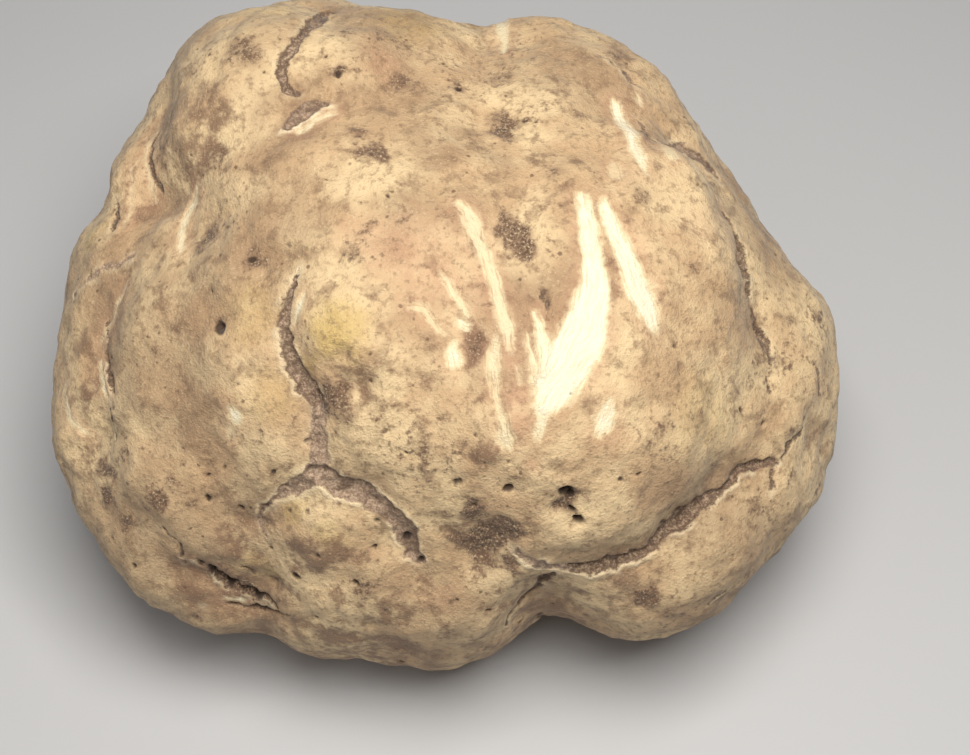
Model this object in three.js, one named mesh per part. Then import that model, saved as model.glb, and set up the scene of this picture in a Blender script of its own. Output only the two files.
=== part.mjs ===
// A white truffle: the knobbly underground fruiting body of a fungus, grown as one solid piece.
// It is a flattened ball of swollen lobes pressed together, with creases and soil furrows
// between them, and it rests on a small flat spot underneath.
//
// Millimetres, +Z up, +X to the right and -Y towards the front. The origin is the middle of the
// bounding box on the plane that the truffle rests on.

import * as THREE from "three";
import { ImprovedNoise } from "three/addons/math/ImprovedNoise.js";
import { mergeVertices } from "three/addons/utils/BufferGeometryUtils.js";

// ---- driving dimensions, in millimetres ----
const CORE = new THREE.Vector3(49, 42, 34); // half-sizes of the ball that carries the lobes
const UNDERSIDE = 31.5; // the core reaches this far down, less than it reaches up
const REST_DEPTH = 31; // from the middle of the core down to the flat spot
const CREASE = 1; // how softly two lobes meet: smaller gives a sharper crease
const UNDULATION = 1; // height of the gentle waves all over the skin
const WAVE = 14; // length of those waves
const SEGMENTS = 19; // cuts along each edge of the icosahedron, which set the facet size

// ---- lobes ----
// Each lobe is a ball of skin. "around" is in degrees anticlockwise from +X seen from above and
// "up" in degrees above the level of the core's middle: together they are the way to its crown.
// "reach" is how far the crown is from the core's middle.
const LOBES = [
  // name, around, up, radius, reach
  ["front_left_knob", -137, -10, 14, 55],
  ["front_left", -115, -14, 19, 48.5],
  ["front", -92, -14, 26, 46.5],
  ["front_right", -43, -5, 21, 54],
  ["right_front", -42, 20, 34, 48.5],
  ["right_low", -26, -3, 21, 56],
  ["right", -14, 3, 21, 55],
  ["right_shoulder", -10, 34, 26, 47.5],
  ["right_side", 16, 24, 36, 43],
  ["back_right", 46, 34, 22, 47.5],
  ["back_knob", 66, 40, 10, 46.5],
  ["back", 106, 40, 20, 45.5],
  ["back_left", 138, 35, 23, 54],
  ["left_back_knob", 161, 26, 11, 52.5],
  ["left_back", 175, 16, 15, 52],
  ["left", -172, 10, 24, 53],
  ["left_low", -160, 1, 22, 55.5],
  ["left_front", -148, -4, 20, 56.5],
  ["left_shoulder", -146, 28, 34, 44.5],
  ["saddle", 172, 47, 30, 43],
  ["crown", 95, 68, 34, 37],
  ["boss", -124, 52, 10, 38.5],
  ["right_dome", -42, 48, 34, 39.5],
  ["behind_low", 88, 2, 22, 46],
  ["behind_right", 40, -2, 20, 48.5],
  ["behind_left", 134, 4, 20, 51.5],
  ["under_right", -10, -32, 16, 43],
  ["under_back", 100, -34, 16, 40.5],
  ["under_left", 170, -26, 18, 46.5],
];

// ---- furrows ----
// Each furrow is a rounded valley along a run of [around, up] points. "width" is the distance
// from its bottom to where about a third of its depth is left.
const FURROWS = [
  {
    name: "left",
    width: 4,
    depth: 1.8,
    run: [[160, 35], [-178, 31], [-165, 24], [-152, 13], [-140, 6], [-122, -6]],
  },
  { name: "back_left", width: 3.5, depth: 2, run: [[118, 46], [128, 55], [142, 60], [160, 62]] },
  {
    name: "front_left",
    width: 4,
    depth: 1.4,
    run: [[-146, 56], [-136, 49], [-125, 42], [-115, 34], [-115, 27], [-124, 15]],
  },
  { name: "front", width: 4, depth: 1.2, run: [[-113, 29], [-103, 26], [-97, 19], [-93, 12]] },
  { name: "front_hollow", width: 8, depth: 1.6, run: [[-84, 25], [-82, 14]] },
  { name: "crown", width: 6, depth: 1, run: [[48, 74], [-45, 73], [-58, 57]] },
  { name: "right", width: 4, depth: 1.4, run: [[18, 45], [8, 36], [-6, 34], [-16, 26], [-31, 12]] },
  {
    name: "front_right",
    width: 3.5,
    depth: 2,
    run: [[-22, 8], [-31, 11], [-42, 14], [-54, 12], [-66, 11], [-76, 15]],
  },
  { name: "under_front", width: 6, depth: 3, run: [[-72, 8], [-73, -6], [-69, -24], [-66, -40]] },
  { name: "behind", width: 4.5, depth: 2, run: [[104, 22], [112, 4], [106, -14], [112, -34]] },
  {
    name: "behind_right",
    width: 4,
    depth: 1.8,
    run: [[58, 26], [62, 8], [40, 12], [14, 2], [8, -16]],
  },
  { name: "under", width: 5, depth: 1.6, run: [[-170, -34], [-126, -42], [-70, -44], [-22, -42]] },
];

// ---- shape ----

function direction(around, up) {
  const a = THREE.MathUtils.degToRad(around);
  const u = THREE.MathUtils.degToRad(up);
  return new THREE.Vector3(Math.cos(a) * Math.cos(u), Math.sin(a) * Math.cos(u), Math.sin(u));
}

const lobes = LOBES.map(([, around, up, radius, reach]) => ({
  radius,
  centre: direction(around, up).multiplyScalar(reach - radius),
}));

const furrows = FURROWS.map(({ width, depth, run }) => ({
  width,
  depth,
  points: run.map(([around, up]) => direction(around, up)),
}));

const noise = new ImprovedNoise();

// Distance from the middle to the core's surface along a unit direction.
function coreRadius(dir) {
  const halfHeight = dir.z > 0 ? CORE.z : UNDERSIDE;
  return 1 / Math.hypot(dir.x / CORE.x, dir.y / CORE.y, dir.z / halfHeight);
}

// Distance from the middle to the far side of a ball along a unit direction, or 0 past its edge.
function ballReach(dir, { centre, radius }) {
  const along = dir.dot(centre);
  const square = along * along - centre.lengthSq() + radius * radius;
  return square > 0 ? along + Math.sqrt(square) : 0;
}

// The outermost of all the lobes and the core, with the creases between them rounded a little.
function bodyRadius(dir) {
  const reaches = [coreRadius(dir), ...lobes.map((lobe) => ballReach(dir, lobe))];
  const most = Math.max(...reaches);
  const sum = reaches.reduce((total, reach) => total + Math.exp((reach - most) / CREASE), 0);
  return most + CREASE * Math.log(sum);
}

// Distance from a unit direction to a run of unit directions, measured at the given radius.
function distanceToRun(dir, points, radius) {
  const nearest = new THREE.Vector3();
  const stretch = new THREE.Line3();
  let least = Infinity;
  for (let i = 1; i < points.length; i++) {
    stretch.set(points[i - 1], points[i]);
    stretch.closestPointToPoint(dir, true, nearest);
    least = Math.min(least, nearest.normalize().distanceTo(dir));
  }
  return least * radius;
}

// The deepest furrow at a unit direction. Furrows that cross do not add up.
function furrowDepth(dir, radius) {
  const depths = furrows.map(({ width, depth, points }) => {
    return depth * Math.exp(-((distanceToRun(dir, points, radius) / width) ** 2));
  });
  return Math.max(...depths);
}

function skinRadius(dir) {
  const radius = bodyRadius(dir);
  const p = dir.clone().multiplyScalar(radius / WAVE);
  return radius + UNDULATION * noise.noise(p.x, p.y, p.z) - furrowDepth(dir, radius);
}

function makeBody() {
  const ball = new THREE.IcosahedronGeometry(1, SEGMENTS);
  ball.deleteAttribute("normal");
  ball.deleteAttribute("uv");
  const body = mergeVertices(ball, 1e-5);
  const place = body.getAttribute("position");
  const dir = new THREE.Vector3();
  for (let i = 0; i < place.count; i++) {
    dir.fromBufferAttribute(place, i).normalize();
    dir.multiplyScalar(skinRadius(dir));
    place.setXYZ(i, dir.x, dir.y, Math.max(dir.z, -REST_DEPTH));
  }
  body.computeBoundingBox();
  const middle = body.boundingBox.getCenter(new THREE.Vector3());
  body.translate(-middle.x, -middle.y, REST_DEPTH);
  body.computeVertexNormals();
  return body;
}

const skin = new THREE.MeshStandardMaterial({ color: 0xc0a478, roughness: 0.8, metalness: 0 });
const truffle = new THREE.Mesh(makeBody(), skin);
truffle.name = "truffle";

const object = new THREE.Group();
object.add(truffle);
export default object;
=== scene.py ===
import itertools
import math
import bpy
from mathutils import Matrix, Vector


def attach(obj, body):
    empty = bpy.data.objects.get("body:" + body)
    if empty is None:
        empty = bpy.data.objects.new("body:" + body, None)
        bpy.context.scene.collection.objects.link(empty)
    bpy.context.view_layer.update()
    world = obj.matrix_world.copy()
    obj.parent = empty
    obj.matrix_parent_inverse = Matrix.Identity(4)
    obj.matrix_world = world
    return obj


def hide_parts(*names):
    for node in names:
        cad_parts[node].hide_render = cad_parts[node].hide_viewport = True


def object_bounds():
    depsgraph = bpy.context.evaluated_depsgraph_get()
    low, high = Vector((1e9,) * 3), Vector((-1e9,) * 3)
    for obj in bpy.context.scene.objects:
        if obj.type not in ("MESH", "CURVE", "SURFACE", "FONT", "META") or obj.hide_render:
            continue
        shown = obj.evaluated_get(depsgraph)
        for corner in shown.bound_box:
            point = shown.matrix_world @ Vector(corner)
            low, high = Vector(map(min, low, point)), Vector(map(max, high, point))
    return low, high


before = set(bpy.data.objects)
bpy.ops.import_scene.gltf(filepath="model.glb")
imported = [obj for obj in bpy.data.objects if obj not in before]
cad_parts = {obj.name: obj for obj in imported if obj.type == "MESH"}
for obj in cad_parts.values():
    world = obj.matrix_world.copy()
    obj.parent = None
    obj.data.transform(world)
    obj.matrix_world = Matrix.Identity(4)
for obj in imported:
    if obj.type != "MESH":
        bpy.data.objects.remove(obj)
CAD_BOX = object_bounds()

# The look of a white truffle: one fine skin that replaces the plain imported body, with soil-filled
# cracks, larval pits, pale scrapes, stains and grain. Lengths in this script are millimetres until
# a mesh, lamp, camera or material is made, because Blender's own unit here is the metre.
#
# Marks are placed in degrees on the body as seen from MIDDLE: "around" is anticlockwise
# from +X in plan, and "up" is above the level of MIDDLE.

from types import SimpleNamespace

import bmesh
import bpy
import numpy as np
from mathutils import Vector
from mathutils.bvhtree import BVHTree

MM = 0.001
MIDDLE = np.array([0.0, 0.0, 31.0])
BODY_RADIUS = 45.0  # roughly, from MIDDLE to the skin
SEED = 7

# ---- camera ----
CAMERA_ELEVATION = 58.0
CAMERA_DISTANCE = 270.0
CAMERA_AIM = np.array([5.3, -6.0, 29.3])
SENSOR_WIDTH = 36.0
LENS = 71.6

# ---- studio ----
# name, place, size, watts and tint
LAMPS = [
    ("key", (32, -70, 330), 170, 1.22, (1.0, 0.985, 0.96)),
    ("fill", (-340, -210, 420), 500, 0.4, (0.97, 0.98, 1.0)),
]
SKY_TINT = (0.9, 0.93, 1.0, 1.0)
SKY_STRENGTH = 0.1
FLOOR_HALF = 5000.0
FLOOR_ROUGHNESS = 0.7

# ---- skin ----
SUBDIVISIONS = 3  # each one cuts every face into smaller ones with four corners
WELD = 0.001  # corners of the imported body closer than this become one
SKIN_TRIANGLES = 196_000
INSET = 0.25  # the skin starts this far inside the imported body, except on the rest spot
RESTING = (0.8, 0.97)  # how squarely skin faces down, from not resting at all to resting fully
MARGIN = 0.02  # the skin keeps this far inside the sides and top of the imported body's box
EASE = 0.6  # bumps slow down over this distance before they would meet the box
CALM_PASSES = 60  # how often the body is evened out to find its creases and crowns
DEEP_HOLLOW = 0.12  # a hollow of this depth or more counts as fully hollow

# ---- noise ----
# Each kind of noise is (wave length, height, offset). The offsets only keep two kinds of noise
# from looking alike.
SWELLS = (17.0, 0.8, 15.0)
LUMPS = (7.0, 0.75, 10.0)
WRINKLES = (3.0, 0.34, 11.0)
GRAIN = (1.4, 0.13, 12.0)
CRUMBS = [(0.75, 1.0, 8.0), (0.45, 0.6, 9.0)]
FIBRES = (1.0, 1.0, 13.0)  # in streak coordinates times FIBRE_STRETCH
CRACK_UNEVEN = [(2.3, 0.4, 14.0), (0.8, 0.2, 18.0)]
RIM_BREAKS = (2.6, 1.0, 17.0)
# How each kind of mark's edge wanders. Here the middle number is how far.
CRACK_WANDER = [(3.0, 0.6, 1.0), (1.2, 0.45, 2.0)]
SCRAPE_WANDER = [(5.0, 0.4, 3.0), (1.5, 0.3, 4.0)]
PIT_WANDER = [(1.5, 0.55, 5.0), (0.8, 0.2, 16.0)]
PATCH_WANDER = [(5.0, 1.6, 6.0), (1.8, 0.7, 7.0)]

# ---- relief of the marks ----
CRUMB_HEIGHT = 0.22  # soil crumbs in cracks and patches
SOIL_CRUMBS = 1.1  # how crumbly a soil patch is, where a crack is 1
SCRAPE_DEPTH = 0.14
FIBRE_HEIGHT = 0.05  # torn fibres in a scrape
FIBRE_STRETCH = (3.0, 0.35, 1.0)  # fibres are narrow across a scrape and long along it
SCRAPE_EDGE = (-0.25, 0.15)  # a scrape's relief fades over these distances from its edge
CRACK_EDGE = (-0.3, 0.2)  # and a crack's crumbs over these
CALMER_WRINKLES = 0.6  # the part of the wrinkles that a scrape takes away
CALMER_GRAIN = 0.7  # and the part of the grain
RIM_HEIGHT = 0.26  # a pale rim stands up this much
RIM_FADE = (0.2, 0.7)  # and it fades over these distances outside its crack
BANK_DEPTH = 0.16  # the skin sinks this much towards a crack,
BANK_WIDTH = 0.9  # over about this distance
PIT_RIM = 0.06  # a pit's raised edge,
PIT_RIM_WIDTH = 0.25  # this wide and this far from the pit
PIT_REACH = 1.2  # how far beyond its edge a pit changes the skin
PATCH_FADE = (0.35, 1.35)  # a patch fades over these parts of its radius
RELIEF_SHARPNESS = 1.6  # a swelling is down to exp(-1.6), a fifth, at its radius

# ---- marks: cracks ----
REACH = 4.0  # how far beyond its edge a mark still changes the skin
RUN_SPACING = 0.9  # about how far apart the points of a smooth run are
# name, side of the pale rim, which is partly painted highlight (1 left of the run, -1 right, 0
# both), how pale the rim is, how deep and dark the crack is, and the run of (around, up, half-width)
CRACKS = [
    ("front_left", 0, 0.55, 0.5, [
        (-141, 58, 0.2), (-138, 54, 0.8), (-135, 50, 1.1), (-130, 47, 1.1), (-127, 45, 1.3),
        (-124, 43, 1.3), (-120, 41, 1.2), (-118, 39, 0.6),
    ]),
    ("front_left_join", 0, 0.25, 0.08, [(-118, 39, 1.2), (-115, 32, 1.3), (-115, 28, 1.6)]),
    ("fork_right", 0, 0.7, 0.3, [
        (-116, 28, 1.0), (-112, 27, 1.6), (-106, 26, 1.7), (-103, 24, 1.5), (-99, 22, 1.7),
        (-97, 19, 1.6), (-96, 15, 1.0), (-94, 13, 0.4),
    ]),
    ("fork_left", 0, 0.5, 0.3, [
        (-114, 28, 1.1), (-117, 26, 1.1), (-119, 23, 0.9), (-122, 19, 0.5), (-124, 16, 0.5),
        (-124, 13, 0.4), (-121, 11, 0.2),
    ]),
    ("fork_side", 0, 0.0, 0.3, [(-94, 20.5, 0.15), (-91, 21, 0.15), (-90, 20, 0.15)]),
    ("middle_slit", 0, 0.0, 0.5, [(-137, 68, 0.15), (-134, 66, 0.35), (-131, 64, 0.15)]),
    ("top_slit", 0, 0.0, 0.6, [
        (-52, 62.5, 0.12), (-54, 60, 0.3), (-56.5, 57, 0.3), (-58, 55.5, 0.12),
    ]),
    ("long_tongue", 0, 0.9, 0.1, [(-77, 16, 0.7), (-72.5, 12.5, 0.9), (-68.5, 11, 0.8)]),
    ("long", -1, 0.7, 0.6, [
        (-68, 11, 0.7), (-65, 10, 1.3), (-60, 10.5, 1.1), (-57, 10.5, 0.8), (-54, 12, 1.1),
        (-48, 13.5, 1.6), (-42.5, 13, 0.8), (-38.5, 13, 0.7), (-35, 13, 0.9), (-31, 11, 0.6),
    ]),
    ("long_branch", 0, 0.45, 0.6, [
        (-71, 9, 0.6), (-72.5, 4.5, 0.8), (-74, 0.5, 0.6), (-76, -1.5, 0.7), (-78, -3.5, 0.6),
        (-79, -6, 0.3),
    ]),
    ("long_end", 1, 0.5, 0.6, [(-32, 11, 0.3), (-33, 9.5, 0.4), (-35.5, 8.5, 0.25)]),
    ("right_up", 0, 0.2, 0.6, [
        (-30, 10.5, 0.5), (-27, 11.5, 0.5), (-25, 10.5, 0.5), (-23.5, 12, 0.4),
    ]),
    ("right_short", 1, 0.4, 0.4, [(-16, 15, 0.2), (-17, 13, 0.45), (-18, 11, 0.3)]),
    ("right", 1, 0.5, 0.6, [
        (2.5, 36, 0.2), (-1, 34.7, 0.6), (-4, 33.8, 1.1), (-7, 33, 1.4), (-9, 31, 1.0),
        (-12.5, 28.5, 0.4), (-14.5, 26.5, 0.5), (-17, 24, 0.6), (-20, 21.5, 0.35), (-23, 20, 0.5),
        (-25, 18.5, 0.15),
    ]),
    ("top_right", 0, 0.3, 0.4, [
        (19, 51, 0.4), (15, 49, 0.8), (15, 46.5, 0.9), (18, 42, 0.9), (17.5, 38, 1.1),
        (15, 35.5, 1.0), (12, 34, 0.4),
    ]),
    ("top_right_fold", 0, 0.2, 0.4, [(25, 50.5, 0.2), (21, 50.5, 0.35), (18, 50.5, 0.2)]),
    ("top_right_ridge", -1, 0.4, 0.4, [
        (47, 49, 0.2), (43, 48.5, 0.4), (39, 47.5, 0.4), (33, 46.5, 0.2),
    ]),
    ("back_left", -1, 0.3, 0.55, [
        (118, 46, 1.1), (122, 50, 1.2), (129, 54, 0.9), (136, 56, 0.7), (143, 57, 0.8),
        (148, 59, 0.8), (147, 61, 0.4),
    ]),
    ("pocket", 1, 0.9, 0.35, [
        (146, 65, 0.8), (152, 62.5, 1.3), (158, 61.5, 1.2), (163, 60.5, 0.6),
    ]),
    ("left_top", 1, 0.3, 0.6, [
        (157.5, 34, 0.2), (162, 34, 0.45), (165.5, 34, 0.35), (168, 34, 0.6), (172, 34.5, 0.25),
    ]),
    ("left_knob", 0, 0.2, 0.7, [(172, 27.5, 0.3), (176, 28, 0.6), (179, 27.3, 0.5)]),
    ("left_crease", 0, 0.4, 0.12, [
        (-175, 31, 0.3), (-174.5, 28, 0.5), (-175, 23, 0.4), (-174, 19, 0.2),
    ]),
    ("left_slit", -1, 0.5, 0.7, [
        (-166, 23, 0.15), (-162, 21.5, 0.35), (-159, 20.3, 0.45), (-157, 20, 0.5),
        (-154.5, 19, 0.35), (-153, 18, 0.15),
    ]),
    ("left_slit_low", 0, 0.2, 0.7, [(-153.5, 17.5, 0.2), (-152.5, 16, 0.35), (-150.5, 14.5, 0.2)]),
    ("left_curve", 0, 0.2, 0.6, [
        (-138, 7.5, 0.12), (-135.5, 7.5, 0.25), (-133.5, 6, 0.25), (-132.5, 4, 0.35),
        (-132, 2, 0.15),
    ]),
    ("crevice", -1, 0.5, 1.0, [
        (-130, 3, 0.5), (-127, 0, 1.1), (-125, -1.5, 0.9), (-122.5, -3, 1.0), (-119, -3.5, 0.4),
    ]),
    ("crevice_low", 1, 0.5, 0.9, [
        (-126, -5, 0.3), (-122.5, -6, 0.6), (-119, -5.5, 0.5), (-116, -4, 0.2),
    ]),
    ("crevice_high", 0, 0.2, 0.6, [(-125.5, 4, 0.2), (-122.5, 2.5, 0.4), (-119.5, 1.5, 0.2)]),
    ("low_left", 0, 0.4, 0.5, [(-132, -4, 0.12), (-130, -4, 0.2), (-128.5, -5, 0.12)]),
    ("low_right", -1, 0.7, 0.4, [(-49.5, -2, 0.15), (-48, -1.5, 0.25), (-46.5, -1, 0.15)]),
    # the side that faces away, and the underside
    ("back_deep", 0, 0.4, 0.4, [
        (103, 33, 0.15), (105, 24, 0.5), (102, 16, 0.8), (110, 8, 0.5), (113, 1, 0.9),
        (107, -8, 0.6), (109, -20, 0.8), (114, -33, 0.2),
    ]),
    ("back_fork", 0, 0.4, 0.35, [
        (112, 3, 0.7), (119, 2, 0.35), (125, -4, 0.6), (134, -8, 0.3), (139, -14, 0.15),
    ]),
    ("back_right", -1, 0.5, 0.35, [
        (61, 29, 0.15), (64, 21, 0.4), (60, 13, 0.8), (54, 8, 0.5), (45, 11, 0.7), (36, 7, 0.35),
        (27, 8, 0.6), (15, 2, 0.4), (8, -12, 0.15),
    ]),
    ("back_slit", 1, 0.4, 0.5, [(84, 30, 0.2), (82, 22, 0.5), (86, 12, 0.4), (84, 5, 0.15)]),
    ("behind_left", 1, 0.4, 0.35, [
        (146, 22, 0.15), (150, 14, 0.5), (145, 6, 0.3), (147, -1, 0.6), (150, -8, 0.2),
    ]),
    ("left_under", 0, 0.3, 0.7, [
        (-176, -8, 0.3), (-170, -16, 0.7), (-160, -22, 0.8), (-150, -24, 0.4),
    ]),
    ("under_front", 0, 0.3, 0.55, [
        (-72, -14, 0.4), (-69, -25, 0.9), (-66, -38, 0.6), (-58, -50, 0.3),
    ]),
    ("under_ring", 0, 0.3, 0.6, [
        (-168, -35, 0.4), (-150, -39, 0.9), (-126, -42, 1.0), (-98, -43, 0.9), (-76, -41, 0.4),
    ]),
    ("right_under", 1, 0.4, 0.6, [
        (-30, -14, 0.3), (-24, -20, 0.7), (-10, -23, 0.8), (5, -19, 0.4),
    ]),
]

# ---- marks: scrapes ----
SCRAPE_STEP = 5.0  # moves the fibres of each scrape on, so that no two scrapes look alike
# name, how bright, and the run of (around, up, half-width)
SCRAPES = [
    ("left_long", 0.76, [
        (-72, 80, 0.6), (-68, 77, 1.2), (-69, 72, 1.0), (-69, 68, 0.8), (-69.5, 64, 0.85),
        (-70, 60, 0.9), (-70, 56.5, 1.1), (-70.5, 54, 0.7), (-71, 52.5, 0.2),
    ]),
    ("left_lower", 0.76, [
        (-74, 55, 0.6), (-75.5, 53, 1.0), (-76.5, 50, 0.9), (-77, 47, 0.6), (-77, 44, 0.5),
        (-77, 41.5, 0.9), (-77, 39.5, 1.2), (-76.5, 38, 0.4),
    ]),
    ("left_nick", 0.7, [(-71, 50.5, 0.2), (-71, 49, 0.4), (-71.5, 47.5, 0.2)]),
    ("left_thin", 0.74, [(-90, 67.5, 0.3), (-86, 65, 0.6), (-83, 62, 0.7), (-81, 60, 0.5)]),
    ("left_faint", 0.66, [(-101, 61, 0.4), (-96, 61, 0.8), (-92, 58.5, 0.6), (-89.5, 57, 0.3)]),
    ("middle", 1.0, [
        (-16, 65, 0.9), (-25, 63, 1.5), (-35, 59, 1.5), (-41, 56, 1.9), (-46, 53.8, 2.3),
        (-52, 51, 2.9), (-58.5, 48.5, 3.3), (-64, 45.8, 2.8), (-68, 43.5, 1.4),
    ]),
    ("middle_inner", 0.9, [(-60, 57, 0.5), (-62.5, 52.5, 1.0), (-66, 48, 1.1)]),
    ("middle_tail", 0.85, [(-67, 47, 0.8), (-69, 43, 0.9), (-70.5, 40, 0.8), (-71, 38.5, 0.4)]),
    ("middle_strip", 0.8, [(-65.5, 54.5, 0.3), (-67, 51, 0.5), (-68, 47.5, 0.8)]),
    ("right", 1.0, [
        (-14, 62, 0.4), (-16.5, 61.5, 0.8), (-23.5, 58.5, 1.3), (-27, 56, 1.5), (-31, 53, 1.5),
        (-35, 50, 1.8), (-36.5, 47, 1.5), (-38, 45, 1.0), (-38.5, 43.5, 0.2),
    ]),
    ("right_nub", 0.7, [(-34, 50, 1.0), (-31, 49, 0.5)]),
    ("low_right", 1.0, [(-55, 40.5, 0.4), (-56, 39.5, 1.0), (-58, 38, 1.4), (-60, 36.5, 0.8)]),
    ("top_right", 0.95, [
        (31, 53, 0.8), (23, 54.5, 1.2), (19, 54, 1.2), (12, 55.5, 0.9), (5, 55.7, 0.8),
        (0, 55.5, 0.4),
    ]),
    ("top_right_streak", 0.7, [(33, 48.5, 0.3), (31, 48.5, 0.5), (29, 48.5, 0.3)]),
    ("top_right_patch", 0.7, [(11, 50, 0.8), (8.5, 50, 1.1)]),
    ("top_right_glint", 1.0, [(15, 46, 0.7), (13, 44, 1.1)]),
    ("top_right_dab", 0.45, [(3, 60, 0.9), (-1, 60, 1.2)]),
    ("left_shoulder", 0.9, [
        (176, 43.5, 0.5), (178, 42, 0.8), (-180, 40, 0.7), (-175, 40, 0.6), (-170.5, 40, 0.4),
    ]),
    ("pocket_rim", 0.85, [(149, 67, 0.4), (154, 65, 0.6), (160, 64, 0.6), (163, 63, 0.3)]),
    # painted highlight on the boss's left edge, drawn as a bright scrape
    ("boss_edge_highlight", 0.9, [(-134, 56, 0.3), (-132.5, 53.5, 0.8), (-131, 51, 0.4)]),
    ("left_edge_high", 0.6, [(158, 33.3, 0.2), (164, 33, 0.35), (170, 33, 0.35), (173, 33, 0.25)]),
    ("left_edge_knob", 0.45, [(165.5, 32, 0.15), (169, 30.5, 0.3), (177.5, 29, 0.35)]),
    ("left_edge_middle", 0.75, [
        (-169.5, 29, 0.2), (-167, 26.5, 0.4), (-165, 23, 0.35), (-164, 21, 0.2),
    ]),
    ("left_edge_low", 0.95, [
        (-163, 12.5, 0.3), (-160, 11.5, 0.6), (-156.5, 11, 0.5), (-154, 11, 0.2),
    ]),
    ("crevice_glint", 0.9, [(-126, -4.2, 0.3), (-124, -4.6, 0.5)]),
    ("slit_rim", 0.9, [
        (-161, 19.5, 0.25), (-159, 18.6, 0.5), (-156.5, 18.2, 0.5), (-154.5, 17.8, 0.25),
    ]),
    ("scar_top", 1.0, [(-84, 58.7, 0.7), (-82.5, 58.3, 0.7)]),
    ("scar_side", 1.0, [(-86.5, 55.5, 0.5), (-87, 54, 0.9), (-86.7, 52.7, 1.1)]),
    ("left_dot", 1.0, [(-133, 32.5, 1.1), (-132.5, 32.2, 1.1)]),
    ("left_dot_tail", 0.6, [(-132.8, 30, 0.2), (-132.5, 29, 0.45), (-132.2, 28, 0.2)]),
    # the side that faces away
    ("back_long", 0.8, [(72, 54, 0.4), (76, 45, 1.1), (79, 37, 1.5), (80, 29, 1.2), (81, 22, 0.3)]),
    ("back_short", 0.7, [(128, 30, 0.3), (130, 24, 0.9), (131, 17, 0.9), (133, 12, 0.3)]),
    ("back_low", 0.7, [(36, 2, 0.3), (38, -5, 1.0), (41, -12, 1.1), (43, -18, 0.3)]),
    ("side_left", 0.6, [(-178, 6, 0.3), (-176, -1, 0.8), (-175, -8, 0.4)]),
]

# ---- marks: pits ----
# (around, up, radius, depth)
PITS = [
    (-147, 41.5, 1.1, 1.0), (-155, 52.5, 0.6, 0.4), (-68.2, 29, 1.0, 1.8), (-67.6, 27.6, 0.6, 1.3),
    (-66.9, 23.2, 0.8, 1.8), (-67.4, 25, 0.55, 1.3), (-78, 30, 0.6, 0.7), (-87.5, 31, 0.5, 0.5),
    (-86.7, 31.4, 0.4, 0.5), (-128.3, 1.4, 0.9, 1.0), (-125.4, -0.8, 1.0, 1.2),
    (-121.6, -3.4, 0.8, 1.0), (-84, 27, 0.3, 0.6), (-82, 35.5, 0.35, 0.4), (-77.5, 35.5, 0.35, 0.4),
    (-90.5, 43, 0.35, 0.5), (-97.5, 37, 0.35, 0.6), (-102, 40, 0.35, 0.5), (-108.5, 52, 0.35, 0.4),
    (-120, 42, 0.4, 0.5), (-115, 20.5, 0.5, 0.6), (-118.5, 18.5, 0.35, 0.4),
    (-122.5, 25.5, 0.6, 0.4), (-132, 21.5, 0.35, 0.5), (-134, 19, 0.45, 0.6),
    (-132, 15.5, 0.5, 0.7), (-127.5, 15, 0.45, 0.6), (-120.5, 9.5, 0.35, 0.4),
    (-117.5, 9, 0.35, 0.5), (-115.5, 6, 0.65, 0.8), (-105, 8, 0.6, 0.9), (-102, 15, 0.45, 0.7),
    (-97, 17.3, 0.6, 0.7), (-94, 13, 0.45, 0.6), (-87.5, 6.5, 0.35, 0.5), (-58.5, 28.5, 0.5, 0.3),
    (-54, 32, 0.3, 0.3), (-31.5, 22, 0.5, 0.5), (-29, 17.5, 0.4, 0.4), (-37, 40, 0.35, 0.3),
    (-61.5, 43.5, 0.3, 0.4), (-45, 5.5, 0.3, 0.4), (-47.5, 2.5, 0.3, 0.4), (83, 69, 0.5, 0.4),
    (134, 64, 0.6, 0.4), (35, 69, 0.35, 0.4), (175, 61.5, 0.35, 0.4), (-155, 44, 0.35, 0.3),
    (-163, 37, 0.3, 0.3), (-154.5, 8.5, 0.35, 0.4), (-118, -5, 0.5, 0.6), (96, -2, 0.9, 1.2),
    (74, 20, 0.6, 0.8), (52, -6, 0.7, 0.9), (124, 14, 0.5, 0.7), (158, 4, 0.8, 1.0),
    (-100, -30, 0.8, 1.0), (-14, -10, 0.6, 0.8), (22, 12, 0.6, 0.8),
]
SMALL_PITS = 160  # tiny pits tried at random places, most of which are kept
SMALL_PIT_RADIUS = (0.26, 0.45)
SMALL_PIT_DEPTH = 0.9  # as a part of its radius
SMALL_PITS_MIDDLE = (-130, 10)  # around and up of the place where they lie closest together
SMALL_PITS_LEAST = 0.45  # the part of them that is kept on the far side from there
CLEAR_OF_SCRAPE = 0.3  # small pits keep this far from a scrape

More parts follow.
